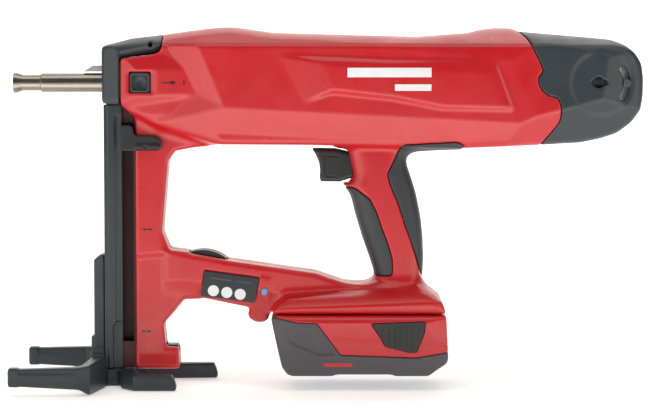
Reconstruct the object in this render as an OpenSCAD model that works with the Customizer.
// Battery-driven nail gun: a spring drive wound by a motor, fed from an upright magazine.
// X runs along the driving axis with the nose at -X, Z is up, and Y = 0 is the split plane.
// The floor plane is Z = 0, under the support leg.

/* [Drive] */
// Height of the driving axis above the floor
axis_z = 230; // [229:0.5:231]
// Travel of the piston from fired to wound
stroke = 106; // [100:1:106]
// Outer diameter of the main spring
main_spring_d = 50; // [46:0.5:50]
// Wire diameter of the main spring
main_wire_d = 5.6; // [4.5:0.1:5.6]
// Turns of the main spring
main_turns = 12; // [10:1:12]

/* [Nose] */
// Outer diameter of the fastener guide tube
guide_d = 14.5; // [13.5:0.1:14.5]
// Bore of the fastener guide
guide_bore_d = 8.4; // [8:0.1:8.6]
// Driver blade diameter
driver_d = 7; // [5:0.5:7]
// Travel of the nose against the work surface
nose_travel = 4; // [2:0.5:4]

/* [Housing] */
// Wall thickness of the moulded shells
wall = 3; // [2.5:0.1:3]
// Width of the handle
handle_w = 34; // [34:1:36]
// Width of the magazine column
column_w = 30; // [29:1:31]

/* [Battery] */
// Width of the battery pack
battery_w = 78; // [76:1:80]
// Diameter of one cell
cell_d = 18.3; // [18:0.1:18.5]
// Number of cells in the lower layer
cell_count = 6; // [4:1:6]
// Number of cells in the upper layer
upper_cell_count = 4; // [2:1:4]

/* [Support leg] */
// Distance between the outer faces of the front prongs
leg_spread = 124; // [110:1:130]
// Height of the prongs
prong_h = 12.5; // [10:0.5:12.5]

/* [Hidden] */
$fn = 48;

gap = 0.3;              // clearance between pieces that move past each other
seam = 0.1;             // half the joint between the two housing halves
far = 60;               // half-width of the slabs that cut whole regions
red = "#c8242a";
dark = "#3d454c";
black = "#1c1e21";
steel = "#b8b6b0";

// Upper body: side view (X, Z), plan (X, half-width) and section (half-width, Z)
body_side = [
    [-170.2, 214], [-170.2, 257.6], [-148, 263.4], [-124.3, 266.2], [-97.3, 269.8], [-80.6, 271.7],
    [-70.7, 271.7], [-41, 267.5], [66, 264.6], [104.9, 267.5], [114.8, 270], [123.9, 271.2],
    [136, 271.1], [145.2, 268.3], [192.7, 264.4], [214.2, 262.5], [222.7, 259.2], [231.3, 252.4],
    [236.4, 244.7], [238, 233.5], [237.8, 220.6], [236, 209.5], [229.5, 200.1], [218.5, 191.9],
    [205.6, 188], [190, 185.1], [160, 183.8], [101, 181.5], [-21, 183.9], [-86, 184.2],
    [-127, 197], [-157.5, 214]
];
body_plan = [
    [-175, 20], [-157.5, 24], [-128, 27], [-78, 42], [155, 42], [205, 37], [226, 30], [240, 18]
];
body_section = [[17, 273], [36, 259], [42, 247], [42, 212], [30, 189.5], [24, 180]];

// Where the dark end pieces meet the red shells, in side view
frame_side = [
    [-172, 210], [-172, 275], [-124.4, 275], [-124.4, 257], [-126.4, 253.4], [-130.5, 251.6],
    [-136.8, 250.8], [-155.4, 248.5], [-155.4, 210]
];
cap_side = [
    [145.2, 275], [145.2, 268.3], [150.7, 263], [155.8, 253], [162.3, 239.5], [158.4, 235],
    [158.4, 229], [162.3, 223], [167, 220], [173, 219], [175.8, 212], [176, 206],
    [174.7, 200.5], [167, 190.6], [162, 185.5], [159.6, 178], [242, 178], [242, 275]
];

// Handle, lower arm, magazine column and battery foot, in side view
handle_side = [
    [4.9, 188], [4.9, 181.9], [13.7, 178.6], [17.5, 161.2], [16.3, 156.9], [8.4, 154.3],
    [13.6, 150.3], [17.1, 144.6], [20.5, 130.7], [25.8, 113.2], [31.1, 98.4], [34.6, 87.4],
    [34.8, 84.4], [31.9, 79.8], [27.4, 76.9], [27.4, 68], [71, 68], [70.3, 81.9], [71.1, 85.3],
    [71.7, 98.4], [71.2, 113.2], [69.5, 128.9], [66, 146.4], [62.5, 157.7], [59, 168.2],
    [58.5, 172.5], [60.7, 176], [66, 178.2], [83.4, 179.7], [101, 180.9], [101, 188]
];
arm_side = [
    [-124, 103.4], [-106.6, 101.8], [-75, 96.1], [-9.5, 86.6], [10.3, 79.8], [27.4, 76.9],
    [50, 77], [50, 60], [-44, 58.2], [-45.8, 50], [-49.5, 47.3], [-55, 47], [-60, 50.2],
    [-61.5, 54], [-60, 59.5], [-97, 67.3], [-109.7, 66.8], [-124, 48.2]
];
column_side = [
    [-146.3, 214], [-146.3, 13.5], [-112.9, 13.5], [-113.6, 30], [-123.1, 30.3], [-124.8, 47.3],
    [-109.7, 66.8], [-97, 67.3], [-106.6, 101.8], [-119.8, 103.4], [-125.4, 117.5],
    [-120.8, 171.4], [-115.8, 178.6], [-92, 183.2], [-86, 190], [-127, 214]
];
foot_side = [
    [-43, 57.6], [-39.5, 64], [-31, 70.5], [10, 73], [72, 75.5], [79, 72], [85.5, 66],
    [88.3, 57.6]
];
foot_half = 37;

// Grip pads, in side view
front_grip_side = [
    [13.6, 150.3], [17.1, 144.6], [20.5, 130.7], [25.8, 113.2], [31.1, 98.4], [34.6, 87.4],
    [34.8, 84.4], [47.7, 84.4], [48.4, 88], [48.1, 97.5], [44.8, 108.8], [39.8, 122],
    [36.3, 132.4], [31.1, 142.9], [20.5, 150.7]
];
rear_grip_side = [
    [101, 180.9], [83.4, 179.7], [66, 178.2], [60.7, 176], [58.5, 172.5], [59, 168.2],
    [62.5, 157.7], [66, 146.4], [69.5, 128.9], [71.2, 113.2], [71.7, 98.4], [71.1, 85.3],
    [70.3, 81.9], [68.6, 87.9], [66, 98.4], [61.6, 111.5], [57.2, 123.7], [52.9, 137.6],
    [46.7, 152.5], [44.1, 161.2], [48.5, 170.8], [53.7, 181.3], [56, 184.2], [95.6, 186.5],
    [100, 184.6]
];

// Fastener guide and nose block along X
nose_tip_x = -238;
guide_rear_x = -126;
block_x = [-166.5, -131];
block_z = [217.05, 246];

// Spring drive along X
bulkhead_x = [-106, -99];
buffer_x = [-98.8, -88.4];
piston_x = [-88, -74];
stem_end_x = 35.5;
nut_x = [36, 52];
seat_x = 112;
carrier_x = [160, 168];
gears_x = [171.5, 179.5];
motor_x = [181, 207];
tube_r = 29;
piston_r = 26.9;
rod_y = 24;
rod_dz = 21.5;
thread_lead = 10;
spindle_r = 6;

// Planetary stage
gear_m = 1;
sun_teeth = 12;
planet_teeth = 12;
ring_teeth = 36;
planet_orbit_r = gear_m * (sun_teeth + planet_teeth) / 2;

// Trigger and buttons
trigger_side = [
    [-12.2, 180.2], [-8.4, 176], [-5.9, 169.9], [-5.3, 163.9], [-5.8, 158.4], [-4.7, 155.2],
    [8.5, 155.2], [15.8, 157.6], [20, 158], [20, 176], [13, 178.4], [5, 180.2]
];
trigger_travel = 6;
trigger_half = 8.5;
button_x = -140.5;
button_z = 230.5;
button_w = 15;

// Magazine along X and Z
rail_x = [-169.5, -156.8];
rail_z = [13.5, 213.5];
liner_x = [-166.6, -131];
follower_top = 221;
follower_travel = 138;

// Battery pack, in side view; the dark lower case ends where the red one starts
battery_side = [
    [-38, 57.2], [-43.2, 55.5], [-42, 49], [-38.5, 33], [-35, 17.5], [-31, 11.8], [-27, 10.5],
    [3, 10.5], [6, 11.8], [47, 11.8], [50, 10.5], [75, 10.5], [81, 15], [89, 20.5],
    [89.8, 25], [88.5, 50], [88, 57.2]
];
red_pack_side = [[-9, 58], [-9, 52], [9, 27], [66, 25], [92, 30], [92, 58]];
latch_side = [[32, 51], [72.3, 52.4], [71.1, 43.8], [65.2, 29.2], [59.9, 29.8], [42.7, 34.2], [38.6, 41.4]];
pack_wall = 2.5;
pack_rail_half = 21;

// Screws as [X, Z, depth from the split plane to the head]
screws = [
    [-118, 252, 22], [-96, 193, 22], [-20, 190.5, 27], [118, 190.5, 27], [140, 262, 27],
    [52.5, 118, 14], [55, 88, 14], [-40, 80, 14], [-112, 85, 14], [-121, 189.6, 12],
    [-120, 18.3, 11], [20, 66.5, 33]
];

// Tail of the rear cap: screw pocket, and the curved lanyard slot around it
pocket_at = [201, 230.5];
pocket_side = [
    [-7.6, 0.8], [-3.6, 2.2], [-1.4, 4.4], [1.4, 4], [3.4, 2], [6.4, 1.6], [7.6, 0],
    [6.4, -1.8], [3.4, -2.2], [1, -4.4], [-2.2, -3.8], [-5, -1.6]
];
slot_at = [203.5, 230];
slot_r = [16.6, 21.4];
tail_wall_x = 213.6;

// ---------- shared shapes ----------

// A side-view outline between two Y values, shrunk by inset
module slab(outline, y0, y1, inset = 0) {
    translate([0, y1, 0]) rotate([90, 0, 0]) linear_extrude(y1 - y0)
        if (inset == 0) polygon(outline);
        else offset(delta = -inset) polygon(outline);
}

module rod_x(r, x0, x1, y = 0, z = axis_z)
    translate([x0, y, z]) rotate([0, 90, 0]) cylinder(r = r, h = x1 - x0);

module rod_y(r, y0, y1, x, z)
    translate([x, y1, z]) rotate([90, 0, 0]) cylinder(r = r, h = y1 - y0);

module box(lo, hi) translate(lo) cube(hi - lo);

function mirrored(half) = concat(half, [for (i = [len(half) - 1:-1:0]) [-half[i][0], half[i][1]]]);
function mirrored_y(half) = concat(half, [for (i = [len(half) - 1:-1:0]) [half[i][0], -half[i][1]]]);

// The whole upper body as one solid, shrunk by inset on every side
module upper_body(inset = 0) intersection() {
    slab(body_side, -far, far, inset);
    translate([-200, 0, 0]) rotate([90, 0, 90]) linear_extrude(460)
        if (inset == 0) polygon(mirrored(body_section));
        else offset(delta = -inset) polygon(mirrored(body_section));
    translate([0, 0, 150]) linear_extrude(150)
        if (inset == 0) polygon(mirrored_y(body_plan));
        else offset(delta = -inset) polygon(mirrored_y(body_plan));
}

// A coil spring along +X from the origin, as a swept tube with flat-lying end turns
module coil(r, wire_r, length, turns, sides = 8, steps = 20) {
    n = turns * steps;
    run = length - 2 * wire_r;
    function height(t) = wire_r + run * (t < 1 / turns ? 0.35 * t : t > 1 - 1 / turns
        ? 1 - 0.35 * (1 - t) : 0.35 / turns + (t - 1 / turns) * (1 - 0.7 / turns) / (1 - 2 / turns));
    ring = [for (i = [0:n], j = [0:sides - 1]) let (
        t = i / n, a = 360 * turns * t, b = 360 * j / sides, d = r + wire_r * cos(b)
    ) [height(t) + wire_r * sin(b), d * cos(a), d * sin(a)]];
    walls = [for (i = [0:n - 1], j = [0:sides - 1]) let (
        k = (j + 1) % sides, p = i * sides, q = p + sides
    ) each [[p + j, p + k, q + k], [p + j, q + k, q + j]]];
    caps = [[for (j = [sides - 1:-1:0]) j], [for (j = [0:sides - 1]) n * sides + j]];
    polyhedron(ring, concat(walls, caps));
}

// A toothed outline; outside gears have teeth that point out, and the ring's teeth point in
module gear_outline(teeth, m, inner = false) {
    pitch = teeth * m / 2;
    out = inner ? pitch + 1.05 * m : pitch + 0.7 * m;
    root = inner ? pitch - 0.7 * m : pitch - 1.05 * m;
    half = 360 / teeth * (inner ? 0.31 : 0.19);
    lean = 360 / teeth * 0.085;
    polygon([for (i = [0:teeth - 1], s = [-1, 1]) let (a = 360 / teeth * i) each s < 0
        ? [[root * cos(a - half - lean), root * sin(a - half - lean)],
           [out * cos(a - half + lean), out * sin(a - half + lean)]]
        : [[out * cos(a + half - lean), out * sin(a + half - lean)],
           [root * cos(a + half + lean), root * sin(a + half + lean)]]]);
}

module gear_x(teeth, m, x0, x1, y, z, turn = 0)
    translate([x0, y, z]) rotate([90, 0, 90]) linear_extrude(x1 - x0) rotate(turn)
        gear_outline(teeth, m);

// ---------- housing ----------

module column_body(inset = 0)
    slab(column_side, -column_w / 2 + inset, column_w / 2 - inset, inset);

module housing_outer() {
    upper_body();
    slab(handle_side, -handle_w / 2, handle_w / 2);
    slab(arm_side, -handle_w / 2, handle_w / 2);
    column_body();
    slab(foot_side, -foot_half, foot_half);
}

module housing_inner() {
    upper_body(wall);
    slab(handle_side, 5.4 - handle_w / 2, handle_w / 2 - 5.4, 6);
    slab(arm_side, wall - handle_w / 2, handle_w / 2 - wall, wall);
    box([liner_x[0], 3 - column_w / 2, 33], [-127.8, column_w / 2 - 3, 206]);
    slab(foot_side, wall - foot_half, foot_half - wall, wall);
    box([23, -9.3, 156.9], [42.6, 9.3, 178.2]);
    box([48, -5, 165], [56, 5, 192]);
    box([36, -11, 66], [64, 11, 82]);
}

module pack_pocket(clear = 0)
    box([-30 - clear, -pack_rail_half - clear, 50], [95, pack_rail_half + clear, 63 + clear]);

module housing_cuts() {
    slab(frame_side, -far, far);
    slab(cap_side, -far, far);
    for (outline = [front_grip_side, rear_grip_side]) difference() {
        slab(outline, -far, far);
        slab(handle_side, 2.3 - handle_w / 2, handle_w / 2 - 2.3, 2.4);
    }
    pack_pocket(gap);
    // the trigger's way in
    slab([[-20, 154.6], [10, 154.6], [27, 156.9], [27, 180.6], [-20, 180.6]],
        -trigger_half - gap, trigger_half + gap);
    // the release button's window
    box([button_x - button_w / 2 - gap, -40, button_z - button_w / 2 - gap],
        [button_x + button_w / 2 + gap, -10, button_z + button_w / 2 + gap]);
    // the magazine liner's channel, open to the front, and the follower's way along the column
    box([-150, -7.8, 13], [-130.7, 7.8, 214]);
    box([-160, -7.9, 206], [-130.7, 7.9, 222]);
    box([-150, -16.5, 32], [-145.6, 0, 207]);
    // pocket for the leg catch
    box([-125, -6.3, 25.8], [-112, 6.3, 31.4]);
    // pocket for the terminal block
    box([-36.2, -13.7, 57.5], [-30, 13.7, 67.2]);
    // pocket for the standby button
    translate([-91, 0, 98.9]) rotate([0, 10.2, 0]) box([-14.6, -9.4, -6], [14.6, 9.4, 6]);
    // pocket for the label panel, on the left side only
    label_shape(1.1, gap / 2);
    rod_y(2.7, -20, 1.6 - handle_w / 2, -48.3, 72.7);
}

// Ribs inside the shells that hold the drive's three plates
module saddle_ribs() for (x = [bulkhead_x[0], seat_x, carrier_x[0]], side = [-1, 1])
    mirror([0, side < 0 ? 1 : 0, 0]) intersection() {
        upper_body(1);
        box([x + 1, x < 0 ? 27.7 : 29.9, 220], [x + 5.5, 50, 240]);
    }

module pad_region(outline) difference() {
    slab(outline, -handle_w / 2 - 0.4, handle_w / 2 + 0.4, 0.1);
    slab(handle_side, 2.2 - handle_w / 2, handle_w / 2 - 2.2, 2.3);
}

module housing_whole() difference() {
    union() {
        difference() {
            housing_outer();
            housing_inner();
        }
        for (s = screws) rod_y(4.6, -s[2] - 1, s[2] + 1, s[0], s[1]);
        saddle_ribs();
    }
    housing_cuts();
    for (s = screws) {
        rod_y(1.55, 3 - s[2], s[2] + 20, s[0], s[1]);
        rod_y(3.3, s[2] - 2, s[2] + 20, s[0], s[1]);
    }
    // nothing of the bosses or ribs shows outside the shells
    difference() {
        box([-190, -80, 0], [250, 80, 300]);
        housing_outer();
    }
}

module housing_left() color(red) intersection() {
    housing_whole();
    box([-300, -far, -10], [300, -seam, 300]);
}

module housing_right() color(red) intersection() {
    housing_whole();
    box([-300, seam, -10], [300, far, 300]);
}

module housing_screws() color(steel) for (s = screws) {
    rod_y(1.5, 4 - s[2], s[2] - 2, s[0], s[1]);
    difference() {
        rod_y(3, s[2] - 2, s[2] + 1, s[0], s[1]);
        rod_y(1.3, s[2] - 0.5, s[2] + 2, s[0], s[1]);
    }
}

module at_side(at) translate([at[0], 0, at[1]]) rotate([90, 0, 0]) children();

module rear_cap() color(dark) difference() {
    union() {
        intersection() {
            difference() {
                upper_body();
                intersection() {
                    upper_body(wall);
                    box([140, -far, 150], [tail_wall_x, far, 300]);
                }
            }
            slab(cap_side, -far, far, 0.1);
        }
        // floors of the two screw pockets
        for (y = [-36, 30.5])
            box([pocket_at[0] - 9, y, pocket_at[1] - 6], [pocket_at[0] + 9, y + 5.5, pocket_at[1] + 6]);
    }
    at_side(pocket_at) for (z = [-60, 32.6]) translate([0, 0, z]) linear_extrude(27.4)
        polygon(pocket_side);
    for (y = [-far, 20]) rod_y(1.6, y, y + 40, pocket_at[0], pocket_at[1]);
    // lanyard slot, right through the tail
    at_side(slot_at) translate([0, 0, -far]) linear_extrude(2 * far) polygon(concat(
        [for (a = [-36:6:36]) slot_r[1] * [cos(a), sin(a)]],
        [for (a = [36:-6:-36]) slot_r[0] * [cos(a), sin(a)]]));
    rod_y(2.9, -far, far, slot_at[0] + 19, slot_at[1]);
}

module lanyard_pin() color(steel) rod_y(2.85, -28, 28, slot_at[0] + 19, slot_at[1]);

module front_frame() color(dark) difference() {
    intersection() {
        difference() {
            upper_body();
            upper_body(wall);
        }
        slab(frame_side, -far, far, 0.1);
    }
    rod_x(guide_d / 2 + 1, -180, -160);
    rod_y(1.6, -far, -10, -133, 258.5);
    box([-172, -7.9, 210], [-150, 7.9, 222]);
    box([-180, -4.3, 236], [-165, 4.3, 243.3]);
}

module front_grip_pad() color(black) pad_region(front_grip_side);

module rear_grip_pad() color(black) pad_region(rear_grip_side);

module label_shape(depth, grow = 0)
    slab([[-93.5 - grow, 89 + grow], [-52 + grow, 83.4 + grow], [-55.6 + grow, 64 - grow],
        [-96.5 - grow, 69.4 - grow]], -handle_w / 2 - 1, -handle_w / 2 + depth);

module label_panel() color(black) difference() {
    label_shape(0.9);
    box([-120, -30, 50], [-30, -handle_w / 2 - 0.4, 120]);
}

module label_discs() color("#dfe9f2") for (i = [0:2])
    rod_y(4.2, -handle_w / 2 - 0.8, -handle_w / 2 - 0.4, -86.8 + 10.1 * i, 73.6 - 1.4 * i);

module status_light() color("#9fc4e0") {
    rod_y(2.6, -handle_w / 2 - 0.3, 1.5 - handle_w / 2, -48.3, 72.7);
}

// ---------- nose ----------

module fastener_guide() color(steel) difference() {
    union() {
        // flared mouth, slim neck and main tube, turned in one piece
        translate([nose_tip_x, 0, axis_z]) rotate([0, 90, 0]) rotate_extrude()
            polygon([[0, 0], [7.8, 0], [7.8, 2.4], [6.1, 7], [6.1, 20.5], [7.25, 21], [7.25, 60], [0, 60]]);
        rod_x(guide_d / 2, nose_tip_x + 50, guide_rear_x);
        rod_x(9.5, guide_rear_x - 4, guide_rear_x);
    }
    rod_x(guide_bore_d / 2, nose_tip_x - 1, guide_rear_x + 1);
    // nails enter from below
    box([-168.5, -4.7, axis_z - 12], [-132.5, 4.7, axis_z]);
}

module guide_block() color("#8c9094") {
    difference() {
        box([block_x[0], -14.5, block_z[0]], [block_x[1], 14.5, block_z[1]]);
        rod_x(guide_d / 2 + 0.08, block_x[0] - 1, block_x[1] + 1);
        // nails and the follower come up from the magazine
        box([block_x[0] - 1, -5.2, 200], [block_x[1] + 1, 5.2, axis_z]);
    }
    // wedge over the tube
    slab([[-185, 238.4], [-178, 242.9], [-166, 242.9], [-166, 238.4]], -4, 4);
}

module nose_spring() color(steel) translate([guide_rear_x, 0, axis_z])
    coil(7, 0.8, bulkhead_x[0] - guide_rear_x, 5, 6, 16);

// ---------- spring drive ----------

module driver_blade() color(steel) rod_x(driver_d / 2, nose_tip_x + 1, piston_x[0]);

module piston() color("#8c9094") difference() {
    union() {
        rod_x(piston_r, piston_x[0], piston_x[1]);
        rod_x(11, piston_x[1], stem_end_x);
    }
    rod_x(7.5, piston_x[1] - 2, stem_end_x + 1);
    // groove that the nut's claws hold
    difference() {
        rod_x(13, stem_end_x - 6, stem_end_x - 3);
        rod_x(9.5, stem_end_x - 7, stem_end_x);
    }
}

module buffer() color(black) difference() {
    rod_x(25, buffer_x[0], buffer_x[1]);
    rod_x(5, buffer_x[0] - 1, buffer_x[1] + 1);
}

module main_spring() color(steel) translate([piston_x[1], 0, axis_z])
    coil((main_spring_d - main_wire_d) / 2, main_wire_d / 2, seat_x - piston_x[1], main_turns, 8, 22);

module guide_tube() color("#9aa0a6") difference() {
    rod_x(tube_r, bulkhead_x[1], seat_x - 0.1);
    rod_x(piston_r + 0.1, bulkhead_x[1] - 1, seat_x);
}

module rods(r, x0, x1) for (y = [-rod_y, rod_y], dz = [-rod_dz, rod_dz]) rod_x(r, x0, x1, y, axis_z + dz);

module plate(x0, x1, bore, half = 29.6) difference() {
    intersection() {
        rod_x(36.5, x0, x1);
        box([x0, -half, axis_z - 25], [x1, half, axis_z + 25]);
    }
    rod_x(bore, x0 - 1, x1 + 1);
    rods(2.55, x0 - 1, x1 + 1);
}

module front_bulkhead() color("#8c9094") plate(bulkhead_x[0], bulkhead_x[1] - 0.1, 4.6, 27.4);

module spring_seat() color("#8c9094") plate(seat_x, seat_x + 8, 15.5);

module bearing_carrier() color("#8c9094") plate(carrier_x[0], carrier_x[1], 11);

module tie_rods() color(steel) rods(2.5, bulkhead_x[0] - 1.5, carrier_x[1] + 2);

module spindle_thread() rod_x(spindle_r, 34.5, 158.5);

module spindle() color(steel) {
    difference() {
        spindle_thread();
        // thread drawn as grooves at the screw's lead
        for (x = [40:thread_lead / 2:154]) difference() {
            rod_x(spindle_r + 1, x, x + 1.6);
            rod_x(spindle_r - 0.7, x - 1, x + 3);
        }
    }
    rod_x(5, 158.5, 168.6);
    // planet carrier with its three pins
    difference() {
        rod_x(17, 168.6, 171);
        rod_x(3.4, 170, 172);
    }
    for (i = [0:2]) rod_x(2, 171, gears_x[1], planet_orbit_r * cos(120 * i), axis_z + planet_orbit_r * sin(120 * i));
}

module spindle_nut() color("#b58a3c") difference() {
    rod_x(13.5, stem_end_x - 5.8, nut_x[1]);
    rod_x(spindle_r + 0.1, nut_x[0] - 1, nut_x[1] + 1);
    rod_x(11.1, stem_end_x - 3.2, nut_x[0]);
    rod_x(9.6, stem_end_x - 7, stem_end_x - 3);
    // only two claws reach forward
    for (y = [-20, 5]) box([20, y, 200], [nut_x[0], y + 15, 260]);
}

module spindle_bearing() color(steel) difference() {
    rod_x(10.9, carrier_x[0] + 0.5, carrier_x[1] - 0.5);
    rod_x(5.1, carrier_x[0], carrier_x[1]);
}

module ring_gear() color("#8c9094") difference() {
    rod_x(22.5, carrier_x[1] + 0.1, motor_x[0] - 0.1);
    rod_x(17.6, carrier_x[1], gears_x[0] - 0.2);
    translate([gears_x[0] - 0.3, 0, axis_z]) rotate([90, 0, 90]) linear_extrude(12)
        rotate(180 / ring_teeth) gear_outline(ring_teeth, gear_m, true);
}

// Planets are turned so that each meshes with the sun and with the ring
module planet_gear(i) color("#b58a3c") difference() {
    gear_x(planet_teeth, gear_m, gears_x[0] + 0.2, gears_x[1] - 0.2,
        planet_orbit_r * cos(120 * i), axis_z + planet_orbit_r * sin(120 * i), 180 / planet_teeth);
    rod_x(2.1, gears_x[0], gears_x[1], planet_orbit_r * cos(120 * i), axis_z + planet_orbit_r * sin(120 * i));
}

module sun_gear() color(steel) difference() {
    gear_x(sun_teeth, gear_m, gears_x[0] + 0.2, gears_x[1] + 1.2, 0, axis_z);
    rod_x(2.5, gears_x[0], gears_x[1] + 2);
}

module motor_stator() color("#6b6f73") difference() {
    rod_x(22, motor_x[0] + 3, motor_x[1] - 3);
    rod_x(14.5, motor_x[0], motor_x[1]);
    for (a = [30:60:330]) translate([0, 0, axis_z]) rotate([a, 0, 0])
        box([motor_x[0], -3, 12], [motor_x[1], 3, 18.5]);
}

module motor_rotor() color(steel) {
    rod_x(14, motor_x[0] + 5, motor_x[1] - 5);
    rod_x(2.45, gears_x[0] + 0.4, motor_x[1] + 5);
}

module motor_end_plates() color("#8c9094") for (x = [motor_x[0], motor_x[1] - 3]) difference() {
    rod_x(22, x, x + 3);
    rod_x(2.8, x - 1, x + 4);
}

module cooling_fan() color(black) difference() {
    union() {
        rod_x(6, motor_x[1] + 0.5, motor_x[1] + 4.5);
        for (a = [0:45:315]) translate([motor_x[1] + 0.5, 0, axis_z]) rotate([a, 0, 0])
            box([0, -0.6, 4], [3.6, 0.6, 17]);
    }
    rod_x(2.5, motor_x[1], motor_x[1] + 6);
}

// ---------- controls ----------

module trigger() color(black) difference() {
    slab(trigger_side, -trigger_half, trigger_half);
    rod_x(3.8, 12, 22, 0, 166);
}

module trigger_spring() color(steel) translate([12, 0, 166]) coil(3, 0.45, 15, 9, 6, 12);

module trigger_switch() color("#33373b") {
    box([27, -9, 157], [42.5, 9, 178]);
    for (z = [159, 173]) rod_y(1.6, -9.2, 9.2, 38, z);
}

module release_button() color(dark) difference() {
    union() {
        box([button_x - button_w / 2, -27.3, button_z - button_w / 2],
            [button_x + button_w / 2, -18.2, button_z + button_w / 2]);
        // rim that stops it from falling out
        box([button_x - button_w / 2 - 1.4, -21.6, button_z - button_w / 2 - 1.4],
            [button_x + button_w / 2 + 1.4, -19.4, button_z + button_w / 2 + 1.4]);
    }
    box([button_x - 6.2, -28, button_z - 6.2], [button_x + 6.2, -26.7, button_z + 6.2]);
    rod_y(3.6, -22, -17, button_x, button_z);
}

module release_button_spring() color(steel) translate([button_x, -14.5, button_z])
    rotate([0, 0, -90]) coil(2.8, 0.4, 7.5, 5, 6, 14);

module standby_button() color(black) translate([-91, 0, 98.9]) rotate([0, 10.2, 0]) {
    intersection() {
        rod_y(29.5, -9, 9, 0, -25.2);
        box([-14.2, -9, -3.6], [14.2, 9, 6]);
    }
    box([-15.6, -10.2, -5.4], [15.6, 10.2, -3.5]);
}

module control_board() color("#1f6b46") box([-100, -12, 74.4], [-62, 12, 76]);

module board_capacitors() color("#2c2f36") for (i = [0:3])
    translate([-95 + 8.5 * i, 0, 76]) cylinder(r = 3.6, h = 7);

module terminal_block() color(black) {
    box([-36, -13.5, 57.8], [-30.6, 13.5, 67]);
    for (y = [-12, -4, 4, 12]) box([-31.6, y - 0.5, 58.5], [-18, y + 0.5, 62]);
}

// A pair of wires that follows a path of [X, Z] points
module wire_pair(path, r, sides = 10) {
    last = len(path) - 1;
    function unit(v) = v / norm(v);
    function before(i) = unit(path[max(i, 1)] - path[max(i, 1) - 1]);
    function after(i) = unit(path[min(i, last - 1) + 1] - path[min(i, last - 1)]);
    function along(i) = unit(before(i) + after(i));
    ring = [for (i = [0:last], j = [0:sides - 1]) let (
        b = 360 * j / sides, t = along(i), k = r * sin(b) / (t * before(i))
    ) [path[i][0] - t[1] * k, r * cos(b), path[i][1] + t[0] * k]];
    walls = [for (i = [0:last - 1], j = [0:sides - 1]) let (
        k = (j + 1) % sides, p = i * sides, q = p + sides
    ) each [[p + j, q + k, p + k], [p + j, q + j, q + k]]];
    caps = [[for (j = [0:sides - 1]) j], [for (j = [sides - 1:-1:0]) last * sides + j]];
    for (y = [-r - 0.2, r + 0.2]) translate([0, y, 0]) polyhedron(ring, concat(walls, caps));
}

module wiring_loom() color("#a03028") {
    wire_pair([[42.4, 72], [51, 100], [40, 132], [36, 156]], 1.5);
    wire_pair([[43.8, 168.5], [52, 176], [52, 190], [62, 198], [165, 198], [183, 205.6]], 1.5);
    wire_pair([[-60, 71], [-20, 71.4], [12, 72.7], [28, 72.7], [40, 72.2]], 1.2);
}

// ---------- magazine ----------

module magazine_rail() color(dark) difference() {
    box([rail_x[0], -11, rail_z[0]], [rail_x[1], 11, rail_z[1]]);
    box([rail_x[0] + 2.7, -8, rail_z[0] - 1], [rail_x[1] + 1, 8, rail_z[1] + 1]);
    // long groove on each side
    for (y = [-11.5, 10.3]) box([-164, y, rail_z[0] - 1], [-160, y + 1.2, rail_z[1] - 8]);
}

module magazine_liner() color(black) difference() {
    box([liner_x[0], -7.6, 14], [liner_x[1], 7.6, 212]);
    box([liner_x[0] + 1.5, -5.2, 20], [liner_x[1] - 1.5, 5.2, 220]);
    // the follower's arm comes out of the left wall
    box([-156.5, -9, follower_top - 49 - follower_travel], [-147.6, -4, 200]);
}

module follower() color(black) {
    difference() {
        box([-164.8, -4.65, follower_top - 42], [-132.8, 4.65, follower_top]);
        rod_y(7.4, -8, 8, -140.4, 199);
        box([-140.4, -8, 199], [-130, 8, 230]);
    }
    box([-155.5, -16.9, follower_top - 42], [-148.6, -4, follower_top - 22.5]);
    // thumb grip over the column's side face
    slab([[-155.5, 179], [-155.5, 198.5], [-147.6, 198.5], [-146, 190.2], [-131, 189.6],
        [-125.6, 187.4], [-124.6, 183.4], [-126.4, 179.6]], -19.4, -16.9);
    slab([[-144, 180.5], [-144, 183.2], [-127, 184], [-126, 181.4]], -21.2, -19.3);
}

// A steel band coiled in the follower, with its free end hooked at the top of the liner
module follower_spring() color(steel) {
    difference() {
        rod_y(7, -3.5, 3.5, -140.4, 199);
        rod_y(4, -4, 4, -140.4, 199);
    }
    box([-133.7, -3.5, 199], [-133.4, 3.5, 212.4]);
    box([-133.7, -3.5, 212.2], [-128.6, 3.5, 212.5]);
}

// ---------- support leg ----------

// Side view of the front prongs: they rise and get thinner towards their tips
prong_side = [
    [-236, 7.6], [-236, 7.6 + prong_h], [-228, 20.3], [-184, 21.4], [-166, 24], [-150, 24],
    [-150, 0], [-176, 0], [-184, 4.8]
];

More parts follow.
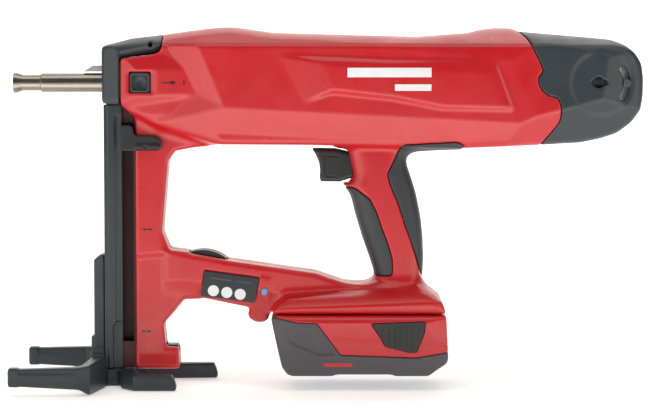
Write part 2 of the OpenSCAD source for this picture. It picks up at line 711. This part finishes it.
module support_leg() color(dark) {
    half = leg_spread / 2;
    // upright in front of the magazine
    slab([[-177.8, 6], [-177.8, 96], [-173, 100], [-170, 100], [-170, 6]], -9, 9);
    box([-180.2, -7, 6], [-177.7, 7, 38]);
    // hub in front of and under the rail
    box([-180, -12, 0], [-170, 12, 27]);
    box([-170.1, -12, 0], [-148, 12, 12.9]);
    for (side = [-1, 1]) mirror([0, side < 0 ? 1 : 0, 0]) {
        intersection() {
            linear_extrude(30) polygon([
                [-180, 8], [-170, 8], [-170, 20], [-177, half - 3], [-185, half],
                [-235, half], [-235, half - 7.5], [-187, half - 7], [-184, half - 12]
            ]);
            slab(prong_side, 0, 80);
        }
        // foot pad at the tip
        box([-235, half - 8.4, 7], [-229, half, 20.6]);
    }
    // rear prongs: the one on the right is the longer
    for (side = [-1, 1], tip = side < 0 ? -113.8 : -86) mirror([0, side < 0 ? 1 : 0, 0])
        intersection() {
            linear_extrude(12) polygon([
                [-160, 8], [-148, 8], [-141, 26], [tip, 30], [tip, 38], [-146, 38], [-156, 26]
            ]);
            slab([[-170, 0], [tip - 1, 0], [tip + 1, 2], [tip - 3, 12], [-170, 12]], 0, 80);
        }
}

module leg_catch() color(black) {
    box([-122.6, -6, 26], [-114.2, 6, 31.2]);
}

// ---------- battery ----------

module pack_solid(inset = 0) intersection() {
    slab(battery_side, inset - battery_w / 2, battery_w / 2 - inset, inset);
    // chamfered lower long edges
    rotate([90, 0, 90]) translate([0, 0, -100]) linear_extrude(250) polygon([
        [inset - battery_w / 2, 60], [battery_w / 2 - inset, 60], [battery_w / 2 - inset, 15],
        [battery_w / 2 - inset - 5, 9], [inset + 5 - battery_w / 2, 9], [inset - battery_w / 2, 15]
    ]);
}

module pack_shell() difference() {
    pack_solid();
    pack_solid(pack_wall);
    for (side = [-1, 1]) mirror([0, side < 0 ? 1 : 0, 0])
        slab(latch_side, battery_w / 2 - 5, battery_w / 2 + 2, -gap);
}

module battery_case_upper() color(red) {
    difference() {
        union() {
            intersection() {
                pack_shell();
                slab(red_pack_side, -far, far, 0.05);
            }
            // rail block that slides into the foot
            box([-8, -pack_rail_half, 54.8], [80, pack_rail_half, 62.8]);
            // stops for the latch springs
            for (y = [-28.4, 26.5]) box([52, y, 39.5], [68, y + 1.9, 56]);
        }
        box([-12, -18.5, 50], [77, 18.5, 60.8]);
    }
}

module battery_case_lower() color(dark) difference() {
    intersection() {
        pack_shell();
        difference() {
            box([-100, -far, 0], [100, far, 57]);
            slab(red_pack_side, -far, far, -0.05);
        }
    }
    // the contact nose lies in the front of the top
    box([-36, -18.8, 55.7], [-8.2, 18.8, 60]);
}

module battery_contacts() color(black) difference() {
    box([-27.5, -18.5, 55.7], [-9.5, 18.5, 62.4]);
    for (y = [-12, -4, 4, 12]) box([-30, y - 1, 56], [-12, y + 1, 63]);
}

module battery_cells() color("#3f7fb0") for (row = [0, 1])
    for (i = [0:(row == 0 ? cell_count : upper_cell_count) - 1])
        rod_y(cell_d / 2, -32.5, 32.5, -21 + 18.8 * i, 23.6 + 18.5 * row);

module battery_board() color("#1f6b46") box([47, -30, 35.4], [82, 30, 37]);

module battery_latch(side) color(black) mirror([0, side < 0 ? 1 : 0, 0]) difference() {
    union() {
        slab(latch_side, battery_w / 2 - 3.2, battery_w / 2 + 0.6);
        // rim behind the case wall
        slab(latch_side, battery_w / 2 - 4.3, battery_w / 2 - 3, -1.6);
    }
    for (i = [0:6]) box([40 + 4.4 * i, battery_w / 2 + 0.1, 28], [41.6 + 4.4 * i, 45, 50]);
}

module battery_latch_left() battery_latch(-1);
module battery_latch_right() battery_latch(1);

module battery_spring(side) color(steel) translate([60, side * 28.5, 44]) rotate([0, 0, side * 90])
    coil(2.6, 0.4, battery_w / 2 - 4.4 - 28.5, 4, 6, 14);

housing_left();
housing_right();
rear_cap();
front_frame();
front_grip_pad();
rear_grip_pad();
housing_screws();
label_panel();
label_discs();
status_light();
lanyard_pin();
fastener_guide();
guide_block();
nose_spring();
driver_blade();
piston();
buffer();
main_spring();
guide_tube();
front_bulkhead();
spring_seat();
bearing_carrier();
tie_rods();
spindle();
spindle_nut();
spindle_bearing();
ring_gear();
planet_gear(0);  // planet_gear_1
planet_gear(1);  // planet_gear_2
planet_gear(2);  // planet_gear_3
sun_gear();
motor_stator();
motor_rotor();
motor_end_plates();
cooling_fan();
trigger();
trigger_spring();
trigger_switch();
release_button();
release_button_spring();
standby_button();
control_board();
board_capacitors();
terminal_block();
wiring_loom();
magazine_rail();
magazine_liner();
follower();
follower_spring();
support_leg();
leg_catch();
battery_case_upper();
battery_case_lower();
battery_cells();
battery_board();
battery_contacts();
battery_latch_left();
battery_latch_right();
battery_spring(-1);  // battery_spring_left
battery_spring(1);  // battery_spring_right
